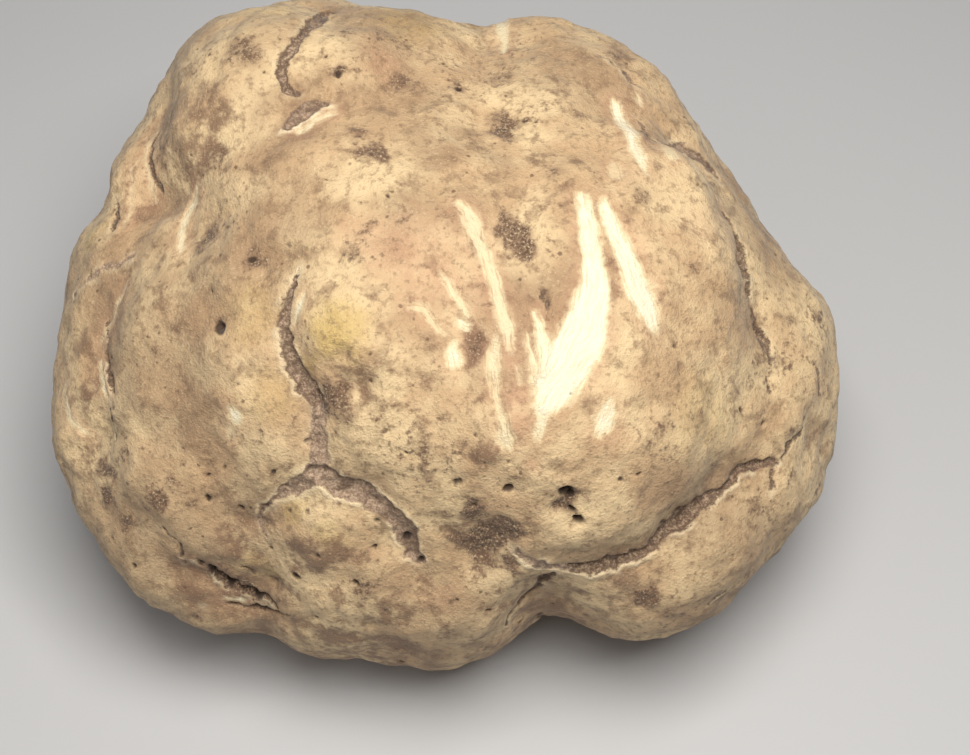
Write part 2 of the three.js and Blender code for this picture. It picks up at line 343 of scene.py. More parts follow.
# ---- marks: patches ----
# (around, up, radius, strength)
SOIL = [
    (-47, 71, 1.9, 0.9), (-52, 68, 1.8, 0.9), (-45, 74, 1.5, 0.7), (-84, 25, 2.0, 0.85),
    (-79, 22, 2.5, 0.9), (-83, 18, 3.0, 1.0), (-87, 17, 1.9, 0.6), (-78, 13.5, 1.7, 0.7),
    (-83, 13, 2.2, 0.6), (-115, 43, 2.8, 0.75), (-111, 41, 2.4, 0.6), (-119, 44, 2.0, 0.6),
    (-117, 41, 1.8, 0.6), (45, 74.5, 1.7, 0.9), (55, 72.5, 1.2, 0.7), (35, 75, 1.3, 0.5),
    (-147, 41.5, 2.0, 0.5), (-8, 70, 1.4, 0.6), (155, 73.5, 2.3, 0.6), (170, 78.5, 1.7, 0.8),
    (170, 75, 1.8, 0.5), (104, 66.5, 2.6, 0.45), (84, 68, 1.4, 0.6), (65, 64, 2.2, 0.55),
    (112, 67, 1.8, 0.5), (146, 52.5, 2.8, 0.6), (-170, 45, 2.2, 0.75), (-155, 52.5, 1.8, 0.7),
    (134, 64, 1.3, 0.7), (-68, 26.5, 1.9, 1.0), (-65.5, 20.5, 1.1, 0.5), (-58, 3.5, 2.3, 0.8),
    (-64, 2.5, 0.9, 0.5), (-71, -3, 0.9, 0.5), (-128, 0.5, 1.9, 0.9), (-124, -2, 2.0, 0.9),
    (-84, -4, 1.4, 0.5), (-22, 45, 1.8, 0.5), (-30.5, 45, 0.9, 0.4), (-33, 56.5, 1.3, 0.5),
    (-7, 56, 2.0, 0.45), (-81.5, 56, 1.9, 0.6), (-82.5, 53.7, 1.2, 0.5), (-79, 55, 1.0, 0.5),
    (-122.5, 14.5, 1.3, 0.7), (-149, 9, 1.6, 0.9), (-146.5, 7, 1.6, 0.95), (-142, 5.5, 1.4, 0.7),
    (-126, 2, 2.0, 0.6), (-121, -4.5, 2.2, 0.6), (-138, 13, 1.4, 0.8), (-129, -7, 1.3, 0.6),
    (-105, 8, 2.4, 0.5), (-102, 8, 2.0, 0.4), (167, 36.5, 1.3, 0.7), (167, 30.5, 1.1, 0.5),
    (176, 27.5, 1.3, 0.5), (45, 45.5, 1.8, 0.5), (26, 38, 1.5, 0.5), (171, 41, 1.6, 0.5),
    (172, 50.5, 2.2, 0.5), (-131, 66, 1.4, 0.6), (-160, 60, 1.2, 0.25), (-27, 12, 1.5, 0.5),
    (-66, 18, 1.3, 0.35),
]
BROWN = [
    (163, 46, 8.0, 0.55), (157, 42.5, 4.6, 0.45), (170, 43, 5.0, 0.5), (175, 31, 2.0, 0.4),
    (-81.5, 55.5, 2.4, 0.9), (-112, 47.5, 2.4, 0.7), (-107, 47, 2.0, 0.5), (-116, 45, 2.6, 0.7),
    (168, 30, 1.9, 0.5), (-166, 18, 3.2, 0.7), (-160, 16, 2.6, 0.6), (-164, 33, 3.4, 0.3),
    (-156, 35, 3.0, 0.25), (-146, 30, 3.0, 0.25), (-112, 11, 3.6, 0.85), (-108, 13, 3.0, 0.7),
    (-127, 8, 3.0, 0.5), (-129, 3.5, 2.8, 0.6), (-132, 1.5, 2.4, 0.5), (-149, 3.5, 1.8, 0.5),
    (-144.5, 1.5, 1.8, 0.5), (-131, -4, 2.8, 0.6), (-61, 6, 2.8, 0.6), (-88, 42, 2.0, 0.4),
    (-82, 38, 2.8, 0.55), (-82, 47, 2.0, 0.5), (-97.5, 45, 0.9, 0.5), (44, 45, 2.8, 0.5),
    (25, 37.5, 1.8, 0.6), (47, 61, 3.4, 0.35), (10, 72, 3.8, 0.35), (-98, 5, 2.8, 0.5),
    (-97, -6, 3.0, 0.6), (-107, -6, 2.6, 0.55), (-39, 53.5, 1.6, 0.5), (-83, 19, 4.6, 0.4),
    (-48, -4, 3.0, 0.4), (-36, 2, 3.0, 0.35), (150, 58, 2.0, 0.3), (-20, 70, 3.2, 0.3),
]
PINK = [
    (-133, 69, 3.2, 0.5), (-118, 71, 4.0, 0.5), (-100, 70, 6.0, 0.6), (-72, 53, 1.8, 0.8),
    (-73, 46, 2.2, 0.9), (-73, 41, 1.8, 0.8), (-73, 35.5, 1.5, 0.9), (-46, 51, 1.6, 0.7),
    (-50, 48.5, 1.6, 0.8), (-55, 46, 1.6, 0.7), (-76, 63, 3.0, 0.5), (115, 63.5, 3.6, 0.5),
    (-57, 35, 2.8, 0.35), (-91, 7, 2.6, 0.3), (-22, 54, 3.6, 0.3), (-10, 46, 3.6, 0.3),
]
OCHRE = [
    (-118, 54, 4.2, 0.8), (-119, 52.5, 2.4, 0.8), (-124, 47, 1.8, 0.5), (177, 24, 2.2, 0.5),
    (-118, 19, 1.8, 0.4), (-110, 17, 2.2, 0.4), (-122, 4, 2.6, 0.4), (-143, 47, 4.0, 0.3),
    (-129, 38, 4.0, 0.3), (-40, 28, 6.0, 0.25), (100, 52, 6.0, 0.3), (130, 44, 5.0, 0.3),
]
HIDDEN_PATCHES = 70  # soil and stains scattered over the back and the underside
HIDDEN_TRIES = 3  # places tried for each, because most lie on the seen side
HIDDEN_PATCH_RADIUS = (1.0, 4.2)
HIDDEN_PATCH_STRENGTH = (0.35, 0.9)
HIDDEN_BACK = 0.85  # backward part of the way to the middle of the hidden side
HIDDEN_DOWN = 0.53  # downward part of the same way

# ---- marks: relief ----
# (around, up, radius, height): swellings, and hollows where the height is below zero
RELIEF = [
    (-118.5, 53.5, 6.0, 2.0), (-112, 47, 4.5, -0.9), (-122, 44, 4.0, -0.6), (-101, 49, 5.0, 0.6),
    (-83, 19, 6.0, -1.3), (-112, 15, 5.0, 0.7), (-101, 11, 4.0, 0.6), (-67.8, 26, 2.6, -1.0),
    (-72, 46, 4.0, -0.6), (-45, 52, 6.0, 0.7), (-47, 71, 5.0, -0.8), (-56, 60, 4.5, -0.7),
    (50, 74, 4.0, -0.6), (-147, 41.5, 3.2, -0.8), (-155, 52.5, 3.6, -0.7), (-170, 45, 4.5, -0.7),
    (-160, 30, 6.0, 0.7), (-150, 22, 5.0, 0.6), (-129, 1, 4.0, -1.0), (-138, 9, 4.0, -0.9),
    (-143, 13, 3.5, 0.8), (-171, 7, 3.0, -1.2), (-166, 1, 4.0, 0.9), (-111, 46.5, 3.0, -0.6),
    (-152, 12, 3.5, -0.8), (-157, 6, 3.5, 0.8), (-137, -2, 3.5, 0.8), (-122, -8, 3.5, 0.7),
    (-120, 1, 2.5, -0.9), (-148, 5, 4.0, -0.6), (-125, 20, 5.0, 0.5), (-60, 20, 7.0, 0.7),
    (-45, 22, 6.0, 0.5), (-12, 44, 5.0, 0.6), (6, 48, 5.0, 0.6), (24, 44, 4.0, -0.5),
    (152, 60, 4.0, -0.8), (130, 64, 5.0, 0.6), (168, 66, 7.0, 0.6), (-118, 68, 6.0, 0.5),
    (-85, 72, 5.0, 0.5), (-57, 4, 4.0, -0.5), (-44, 2, 5.0, 0.6), (-20, 8, 4.0, 0.5),
    (-88, 0, 6.0, 0.6),
]


# ---- small helpers ----


def rise(value, low, high):
    """0 below low, 1 above high, and a smooth rise between."""
    t = np.clip((value - low) / (high - low), 0.0, 1.0)
    return t * t * (3.0 - 2.0 * t)


def direction(around, up):
    a, u = math.radians(around), math.radians(up)
    return np.array([math.cos(a) * math.cos(u), math.sin(a) * math.cos(u), math.sin(u)])


def colour(text):
    """Linear colour of a six-digit sRGB hex colour."""
    parts = [int(text[i : i + 2], 16) / 255.0 for i in (0, 2, 4)]
    linear = [p / 12.92 if p <= 0.04045 else ((p + 0.055) / 1.055) ** 2.4 for p in parts]
    return (*linear, 1.0)


# ---- colours and grain of the material ----

SKIN_TAN = colour("bf9e77")
# pale skin tone, also used as painted light on the crowns
SKIN_LIGHT = colour("dabe92")
SKIN_DARK = colour("8b7053")
# brown of real stains and soil, also used as painted shade low down and in creases
BROWN_STAIN_AND_SHADE = colour("83654d")
PINK_STAIN = colour("bd8f70")
OCHRE_STAIN = colour("c8aa64")
SOIL_DARK = colour("513d2d")
SOIL_LIGHT = colour("a58a70")
# cream of scraped flesh, also used for painted highlight specks
CREAM = colour("e4d0a5")
CREAM_BRIGHT = colour("ede2c6")
# pale crack rims, partly the skin's own colour and partly painted highlight
RIM_PALE_AND_HIGHLIGHT = colour("f0dab2")
PIT_DARK = colour("38281d")
CRACK_DARK = colour("5e4837")
FILL_DARK = colour("8a6e57")
FILL_LIGHT = colour("c9b096")
SPECK = colour("5f4733")
FLOOR_GREY = colour("c4c3c2")
LIGHT_ABOVE = 48.0  # painted shade darkens the skin from this height
DARK_BELOW = 14.0  # down to this one
CLEAN_ROUGHNESS = 0.74
SOIL_ROUGHNESS = 0.92
BUMP_STRENGTH = 0.8
BUMP_DISTANCE = 0.34
SPECK_SPOTS = 620.0  # per metre
# waves per metre, detail and roughness
VAST_GRAIN = (48.0, 3.0, 0.55)
STREWN_GRAIN = (75.0, 5.0, 0.7)
BROAD_GRAIN = (110.0, 4.0, 0.55)
MIDDLE_GRAIN = (360.0, 4.0, 0.6)
FINE_GRAIN = (1200.0, 4.0, 0.65)
FINEST_GRAIN = (3300.0, 2.0, 0.6)
# the same for torn fibres and the gaps between them, in streak coordinates times their stretch
TORN_GRAIN = (1.0, 4.0, 0.65)
TORN_STRETCH = (1.7, 0.16, 1.0)
GAP_GRAIN = (1.0, 3.0, 0.6)
GAP_STRETCH = (3.0, 0.3, 1.0)


# ---- noise ----

NOISE_SIZE = 256
NOISE_ORDER = np.random.default_rng(SEED).permutation(NOISE_SIZE)
NOISE_TABLE = np.concatenate([NOISE_ORDER, NOISE_ORDER, NOISE_ORDER])
NOISE_EDGES = np.array([e for e in itertools.product((-1, 0, 1), repeat=3) if np.abs(e).sum() == 2])
NOISE_STEP = 31.7  # how far an offset of 1 moves the noise, in waves
WANDER_OFFSETS = (0.0, 0.37, 0.71)  # added to the offset, one for each direction of wandering


def noise(points, length, offset):
    """Smooth gradient noise from about -1 to 1, with waves about `length` long."""
    place = points / length + NOISE_STEP * offset
    cell = np.floor(place).astype(np.int64)
    inside = place - cell
    ease = inside**3 * (inside * (inside * 6.0 - 15.0) + 10.0)
    total = np.zeros(len(points))
    for corner in itertools.product((0, 1), repeat=3):
        x, y, z = ((cell + corner) & (NOISE_SIZE - 1)).T
        edge = NOISE_EDGES[NOISE_TABLE[NOISE_TABLE[NOISE_TABLE[x] + y] + z] % len(NOISE_EDGES)]
        weight = np.prod(np.where(corner, ease, 1.0 - ease), axis=1)
        total += weight * np.einsum("ij,ij->i", edge, inside - corner)
    return total


def waves(points, *kinds):
    """The sum of some kinds of noise."""
    return sum(height * noise(points, length, offset) for length, height, offset in kinds)


def wander(points, kinds):
    """Points moved about smoothly by some kinds of noise, which makes straight edges ragged."""
    moved = points
    for length, amount, offset in kinds:
        parts = [noise(points, length, offset + k) for k in WANDER_OFFSETS]
        moved = moved + amount * np.stack(parts, axis=1)
    return moved


# ---- marks on the body ----


def curve_way(p0, p1, p2, p3, t):
    """The way to a smooth curve from p1 to p2, a part t of the way along. Its length is not 1."""
    straight = 2 * p1 + (p2 - p0) * t
    return straight + (2 * p0 - 5 * p1 + 4 * p2 - p3) * t**2 + (3 * p1 - p0 - 3 * p2 + p3) * t**3


class Body:
    """The smooth body, and the ways to find places on it."""

    def __init__(self, mesh):
        corners = [v.co / MM for v in mesh.vertices]
        self.tree = BVHTree.FromPolygons(corners, [p.vertices[:] for p in mesh.polygons])

    def place(self, outward):
        return np.array(self.tree.ray_cast(Vector(MIDDLE), Vector(outward))[0])

    def run(self, rows):
        """Points and half-widths along a smooth curve through rows of (around, up, half-width)."""
        ways = np.array([direction(around, up) for around, up, _ in rows])
        halves = [row[2] for row in rows]
        padded = np.vstack([2 * ways[0] - ways[1], ways, 2 * ways[-1] - ways[-2]])
        points, widths = [], []
        for i in range(len(rows) - 1):
            steps = max(2, int(np.linalg.norm(ways[i + 1] - ways[i]) * BODY_RADIUS / RUN_SPACING))
            for t in np.arange(steps) / steps:
                points.append(self.place(curve_way(*padded[i : i + 4], t)))
                widths.append(halves[i] + (halves[i + 1] - halves[i]) * t)
        points.append(self.place(ways[-1]))
        widths.append(halves[-1])
        return np.array(points), np.array(widths)


def measure(points, run, widths):
    """For points near a run: which they are, distance to its edge, across it and along it."""
    near = np.all((points > run.min(0) - REACH) & (points < run.max(0) + REACH), axis=1)
    which = np.flatnonzero(near)
    best = np.full(len(which), np.inf)
    across = np.zeros(len(which))
    along = np.zeros(len(which))
    start = 0.0
    for a, b, half_a, half_b in zip(run[:-1], run[1:], widths[:-1], widths[1:]):
        length = np.linalg.norm(b - a)
        line = (b - a) / length
        left = np.cross((a - MIDDLE) / np.linalg.norm(a - MIDDLE), line)
        away = points[which] - a
        t = np.clip(away @ line, 0.0, length)
        gap = np.linalg.norm(away - t[:, None] * line, axis=1)
        edge = gap - (half_a + (half_b - half_a) * t / length)
        closer = edge < best
        best[closer] = edge[closer]
        across[closer] = (away @ left)[closer]
        along[closer] = (start + t)[closer]
        start += length
    return which, best, across, along


def crack_fields(body, points):
    """Distance to the nearest crack's edge, how deep and dark it is, and the pale rims, which are
    partly painted highlight.
    """
    ragged = wander(points, CRACK_WANDER)
    uneven = waves(points, *CRACK_UNEVEN)
    broken = rise(waves(points, RIM_BREAKS), -0.45, 0.25)
    edge = np.full(len(points), REACH)
    depth = np.zeros(len(points))
    dark = np.zeros(len(points))
    rim = np.zeros(len(points))
    for _, side, pale, deep, rows in CRACKS:
        run, widths = body.run(rows)
        broad = widths.max()
        which, gap, across, _ = measure(ragged, run, widths)
        # narrow cracks are more even than broad ones, and shallower
        gap += uneven[which] * min(1.0, 0.3 + 0.7 * broad)
        sided = 1.0 if side == 0 else rise(across * side, -0.3, 0.3)
        glow = pale * sided * rise(gap, -0.3, 0.0) * (1.0 - rise(gap, *RIM_FADE))
        rim[which] = np.maximum(rim[which], glow * broken[which])
        sunk = deep * (0.5 + 0.55 * broad) * rise(-gap, -0.1, 0.25 + 0.3 * broad)
        depth[which] = np.maximum(depth[which], sunk)
        dark[which] = np.where(gap < edge[which], deep, dark[which])
        edge[which] = np.minimum(edge[which], gap)
    return edge, depth, dark, rim


def scrape_fields(body, points):
    """Distance to the nearest scrape's edge, its brightness, and streak coordinates."""
    ragged = wander(points, SCRAPE_WANDER)
    edge = np.full(len(points), REACH)
    bright = np.zeros(len(points))
    streak = np.zeros((len(points), 3))
    for number, (_, light, rows) in enumerate(SCRAPES):
        run, widths = body.run(rows)
        which, gap, across, along = measure(ragged, run, widths)
        better = gap < edge[which]
        which, gap, across, along = which[better], gap[better], across[better], along[better]
        edge[which] = gap
        bright[which] = light
        apart = np.full(len(which), SCRAPE_STEP * number)
        streak[which] = np.stack([across, along, apart], axis=1)
    return edge, bright, streak


def scattered(count, seed, keep):
    """Random unit directions, all over, of which `keep` says how likely each is to stay."""
    rng = np.random.default_rng(seed)
    ways = rng.normal(size=(count, 3))
    ways /= np.linalg.norm(ways, axis=1, keepdims=True)
    return ways[rng.random(count) < keep(ways)], rng


def nearest(place, points, values):
    """The value at the point nearest to a place."""
    return values[np.argmin(((points - place) ** 2).sum(axis=1))]


def small_pits(body, points, scrape):
    """Rows of (centre, radius, depth) for the pits that no list holds."""
    middle = direction(*SMALL_PITS_MIDDLE)

    def keep(ways):
        return SMALL_PITS_LEAST + (1.0 - SMALL_PITS_LEAST) * np.clip(ways @ middle, 0, 1)

    ways, rng = scattered(SMALL_PITS, SEED + 1, keep)
    radii = rng.uniform(*SMALL_PIT_RADIUS, len(ways))
    rows = [(body.place(way), r, SMALL_PIT_DEPTH * r) for way, r in zip(ways, radii)]
    return [row for row in rows if nearest(row[0], points, scrape) > CLEAR_OF_SCRAPE]


def pit_fields(body, points, scrape):
    """Distance to the nearest pit's edge, and the depth of pits."""
    listed = [(body.place(direction(around, up)), radius, deep) for around, up, radius, deep in PITS]
    ragged = wander(points, PIT_WANDER)
    edge = np.full(len(points), REACH)
    depth = np.zeros(len(points))
    for centre, radius, deep in listed + small_pits(body, points, scrape):
        which = np.flatnonzero(np.abs(ragged - centre).max(axis=1) < radius + PIT_REACH)
        gap = np.linalg.norm(ragged[which] - centre, axis=1) - radius
        # a pit is a bowl, whose whole depth is in its inner fifth
        sunk = deep * rise(-gap, -0.12, 0.8 * radius)
        raised = PIT_RIM * np.exp(-((gap - PIT_RIM_WIDTH) / PIT_RIM_WIDTH) ** 2)
        edge[which] = np.minimum(edge[which], gap)
        depth[which] = np.maximum(depth[which], sunk - raised)
    return edge, depth


def patch_field(body, ragged, patches):
    """Strength from 0 to 1 of soft-edged patches."""
    clear = np.ones(len(ragged))
    for around, up, radius, strength in patches:
        centre = body.place(direction(around, up))
        gap = np.linalg.norm(ragged - centre, axis=1) / radius
        clear *= 1.0 - strength * (1.0 - rise(gap, *PATCH_FADE))
    return 1.0 - clear


def hidden_side(ways):
    """How likely a scattered patch is in each direction: only on the back and the underside."""
    return rise(HIDDEN_BACK * ways[:, 1] - HIDDEN_DOWN * ways[:, 2], 0.0, 0.5)


def hidden_patches():
    """Rows like those of SOIL for the back and the underside, in three kinds."""
    ways, rng = scattered(HIDDEN_TRIES * HIDDEN_PATCHES, SEED + 2, hidden_side)
    rows = []
    for x, y, z in ways[:HIDDEN_PATCHES]:
        around = math.degrees(math.atan2(y, x))
        up = math.degrees(math.asin(z))
        radius = rng.uniform(*HIDDEN_PATCH_RADIUS)
        rows.append((around, up, radius, rng.uniform(*HIDDEN_PATCH_STRENGTH)))
    return rows[0::3], rows[1::3], rows[2::3]


def relief_field(body, points):
    """Height of the swellings and hollows."""
    height = np.zeros(len(points))
    for around, up, radius, high in RELIEF:
        gap = np.linalg.norm(points - body.place(direction(around, up)), axis=1) / radius
        height += high * np.exp(-RELIEF_SHARPNESS * gap**2)
    return height


# ---- meshes ----


def baked(holder):
    """A new mesh of an object with its modifiers applied."""
    graph = bpy.context.evaluated_depsgraph_get()
    return bpy.data.meshes.new_from_object(holder.evaluated_get(graph))


def read_vectors(items, name):
    """One vector of each of a mesh's items, such as its vertices, as rows."""
    out = np.empty(len(items) * 3, np.float32)
    items.foreach_get(name, out)
    return out.reshape(-1, 3).astype(float)


def edges_of(mesh):
    out = np.empty(len(mesh.edges) * 2, np.int32)
    mesh.edges.foreach_get("vertices", out)
    return out.reshape(-1, 2)


def write_places(mesh, places):
    mesh.vertices.foreach_set("co", places.astype(np.float32).ravel())
    mesh.update()


def write_fields(mesh, name, *fields):
    """Keeps up to three values of each vertex, which the material reads by name."""
    values = np.zeros((len(mesh.vertices), 3), np.float32)
    values[:, : len(fields)] = np.stack(fields, axis=1)
    made = mesh.attributes.new(name, "FLOAT_VECTOR", "POINT")
    made.data.foreach_set("vector", values.ravel())


def smooth_body():
    """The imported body's mesh, welded and subdivided, as a new mesh in metres."""
    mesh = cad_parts["truffle"].data.copy()
    work = bmesh.new()
    work.from_mesh(mesh)
    bmesh.ops.remove_doubles(work, verts=work.verts, dist=WELD * MM)
    work.to_mesh(mesh)
    work.free()
    holder = bpy.data.objects.new("work", mesh)
    bpy.context.scene.collection.objects.link(holder)
    cut = holder.modifiers.new("cut", "SUBSURF")
    cut.levels = SUBDIVISIONS
    fine = baked(holder)
    bpy.data.objects.remove(holder)
    return fine


def thin(piece):
    """Takes faces away where the skin is plain, down to SKIN_TRIANGLES.

    That can move a corner a little below the floor, so such corners are lifted back to it.
    """
    faces = piece.modifiers.new("faces", "TRIANGULATE")
    less = piece.modifiers.new("less", "DECIMATE")
    # every face has four corners, so it makes two triangles
    less.ratio = SKIN_TRIANGLES / (2 * len(piece.data.polygons))
    made = baked(piece)
    piece.modifiers.remove(less)
    piece.modifiers.remove(faces)
    piece.data = made
    places = read_vectors(made.vertices, "co")
    places[:, 2] = np.maximum(places[:, 2], 0.0)
    write_places(made, places)


# ---- the skin ----


def spread(values, edges, times):
    """Averages each point's values with its neighbours' a number of times."""
    count = np.bincount(edges.ravel(), minlength=len(values))[:, None]
    for _ in range(times):
        total = np.zeros_like(values)
        for k in range(values.shape[1]):
            total[:, k] += np.bincount(edges[:, 0], values[edges[:, 1], k], len(values))
            total[:, k] += np.bincount(edges[:, 1], values[edges[:, 0], k], len(values))
        values = 0.5 * values + 0.5 * total / count
    return values


def hollow_field(points, normals, edges):
    """How hollow the body is at each point: positive in creases, negative on crowns."""
    calm = spread(points, edges, CALM_PASSES)
    return np.clip(np.einsum("ij,ij->i", calm - points, normals) / DEEP_HOLLOW, -1.0, 1.0)


def find_marks(body, points, normals, edges):
    """What every mark does at each point of the skin."""
    marks = SimpleNamespace()
    marks.crack, marks.crack_depth, marks.dark, marks.rim = crack_fields(body, points)
    marks.scrape, marks.bright, marks.streak = scrape_fields(body, points)
    marks.pit, marks.pit_depth = pit_fields(body, points, marks.scrape)
    ragged = wander(points, PATCH_WANDER)
    more_soil, more_brown, more_ochre = hidden_patches()
    marks.soil = patch_field(body, ragged, SOIL + more_soil)
    marks.brown = patch_field(body, ragged, BROWN + more_brown)
    marks.pink = patch_field(body, ragged, PINK)
    marks.ochre = patch_field(body, ragged, OCHRE + more_ochre)
    marks.relief = relief_field(body, ragged)
    marks.hollow = hollow_field(points, normals, edges)
    return marks


def skin_height(points, normals, marks):
    """How far each point of the skin stands out of the smooth body."""
    scraped = 1.0 - rise(marks.scrape, *SCRAPE_EDGE)
    cracked = 1.0 - rise(marks.crack, *CRACK_EDGE)
    height = marks.relief + waves(points, SWELLS)
    height += waves(points, LUMPS)
    height += waves(points, WRINKLES) * (1.0 - CALMER_WRINKLES * scraped)
    height += waves(points, GRAIN) * (1.0 - CALMER_GRAIN * scraped)
    crumbly = np.maximum(cracked, SOIL_CRUMBS * marks.soil)
    height += CRUMB_HEIGHT * waves(points, *CRUMBS) * crumbly
    height -= SCRAPE_DEPTH * scraped
    height += FIBRE_HEIGHT * scraped * waves(marks.streak * FIBRE_STRETCH, FIBRES)
    bank = BANK_DEPTH * np.exp(-np.clip(marks.crack, 0.0, REACH) / BANK_WIDTH)
    height += RIM_HEIGHT * marks.rim - bank
    resting = rise(-normals[:, 2], *RESTING)
    return height - (marks.crack_depth + marks.pit_depth + INSET * (1.0 - resting))


def soft_limit(value, limit):
    """Values that never pass a limit, slowed smoothly over the last EASE before it."""
    over = np.maximum(value - (limit - EASE), 0.0)
    return np.where(over > 0.0, limit - EASE * np.exp(-over / EASE), value)


def kept_in_box(points):
    """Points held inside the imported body's box, and on or above the floor."""
    low, high = np.array(CAD_BOX[0]) / MM, np.array(CAD_BOX[1]) / MM
    kept = soft_limit(points, high - MARGIN)
    kept[:, :2] = -soft_limit(-kept[:, :2], -low[:2] - MARGIN)
    kept[:, 2] = np.maximum(kept[:, 2], 0.0)
    return kept


def make_skin():
    mesh = smooth_body()
    points = read_vectors(mesh.vertices, "co") / MM
    normals = read_vectors(mesh.vertex_normals, "vector")
    marks = find_marks(Body(mesh), points, normals, edges_of(mesh))
    write_fields(mesh, "marks", marks.crack, marks.scrape, marks.pit)
    write_fields(mesh, "stains", marks.brown, marks.pink, marks.ochre)
    # soil patches, the hollowness that the material paints as shade in creases and light on crowns,
    # and the rims
    write_fields(mesh, "soil_and_shading", marks.soil, marks.hollow, marks.rim)
    write_fields(mesh, "streak", *marks.streak.T)
    write_fields(mesh, "shade", marks.bright, marks.dark)
    placed = points + skin_height(points, normals, marks)[:, None] * normals
    write_places(mesh, kept_in_box(placed) * MM)

    piece = bpy.data.objects.new("truffle_skin", mesh)
    bpy.context.scene.collection.objects.link(piece)
    thin(piece)
    piece.data.shade_smooth()
    piece.data.materials.clear()
    piece.data.materials.append(make_skin_material())
    return piece


# ---- material ----


class Graph:
    """Short calls that add and link the nodes of one material, from sockets, numbers and colours."""

    def __init__(self, name):
        self.material = bpy.data.materials.new(name)
        self.material.use_nodes = True
        self.nodes = self.material.node_tree.nodes
        self.links = self.material.node_tree.links
        self.shader = self.nodes["Principled BSDF"]

    def put(self, value, socket):
        if isinstance(value, bpy.types.NodeSocket):
            self.links.new(value, socket)
        else:
            socket.default_value = value

    def calc(self, operation, *values):
        node = self.nodes.new("ShaderNodeMath")
        node.operation = operation
        for value, socket in zip(values, node.inputs):
            self.put(value, socket)
        return node.outputs[0]

    def roughen(self, value, grain, amount):
        """A value with some grain added to it. The grain averages 0."""
        return self.calc("MULTIPLY_ADD", grain, amount, value)

    def fade(self, value, low, high, to_low=0.0, to_high=1.0):
        """A smooth change from to_low to to_high, as the value goes from low to high."""
        node = self.nodes.new("ShaderNodeMapRange")
        node.interpolation_type = "SMOOTHSTEP"
        names = ("Value", "From Min", "From Max", "To Min", "To Max")
        for name, number in zip(names, (value, low, high, to_low, to_high)):
            self.put(number, node.inputs[name])
        return node.outputs["Result"]

    def blend(self, factor, first, second):
        """The first colour where the factor is 0, and the second where it is 1."""
        node = self.nodes.new("ShaderNodeMix")
        node.data_type = "RGBA"
        self.put(factor, node.inputs["Factor"])
        self.put(first, node.inputs[6])
        self.put(second, node.inputs[7])
        return node.outputs[2]

    def coat(self, base, paint, value, low, high, most=1.0):
        """A base with paint over it: none where the value is low, and the most where it is high."""
        return self.blend(self.fade(value, low, high, 0.0, most), base, paint)

    def grain(self, vector, scale, detail, rough):
        node = self.nodes.new("ShaderNodeTexNoise")
        self.put(vector, node.inputs["Vector"])
        node.inputs["Scale"].default_value = scale
        node.inputs["Detail"].default_value = detail
        node.inputs["Roughness"].default_value = rough
        return node.outputs["Fac"]

    def spots(self, vector, scale):
        """Distance to the nearest of some scattered spots, and a random colour for each spot."""
        node = self.nodes.new("ShaderNodeTexVoronoi")
        self.put(vector, node.inputs["Vector"])
        node.inputs["Scale"].default_value = scale
        return node.outputs["Distance"], node.outputs["Color"]

    def parts(self, vector):
        node = self.nodes.new("ShaderNodeSeparateXYZ")
        self.put(vector, node.inputs[0])
        return node.outputs[0], node.outputs[1], node.outputs[2]

    def field(self, name):
        """Values that write_fields kept on the skin."""
        node = self.nodes.new("ShaderNodeAttribute")
        node.attribute_name = name
        return node.outputs["Vector"]

    def scaled(self, vector, factors):
        node = self.nodes.new("ShaderNodeVectorMath")
        node.operation = "MULTIPLY"
        self.put(vector, node.inputs[0])
        node.inputs[1].default_value = factors
        return node.outputs[0]


def skin_values(g):
    """What the colours are mixed by: the marks on the skin, and grain of five sizes."""
    v = SimpleNamespace()
    v.place = g.nodes.new("ShaderNodeTexCoord").outputs["Object"]
    v.height = g.parts(v.place)[2]
    v.crack, v.scrape, v.pit = g.parts(g.field("marks"))
    v.brown, v.pink, v.ochre = g.parts(g.field("stains"))
    v.soil, v.hollow, v.rim = g.parts(g.field("soil_and_shading"))
    v.bright, v.dark, _ = g.parts(g.field("shade"))
    v.vast = g.grain(v.place, *VAST_GRAIN)
    v.broad = g.grain(v.place, *BROAD_GRAIN)
    v.middle = g.grain(v.place, *MIDDLE_GRAIN)
    v.fine = g.grain(v.place, *FINE_GRAIN)
    v.finest = g.grain(v.place, *FINEST_GRAIN)
    v.middle_centred = g.calc("SUBTRACT", v.middle, 0.5)
    v.fine_centred = g.calc("SUBTRACT", v.fine, 0.5)
    return v


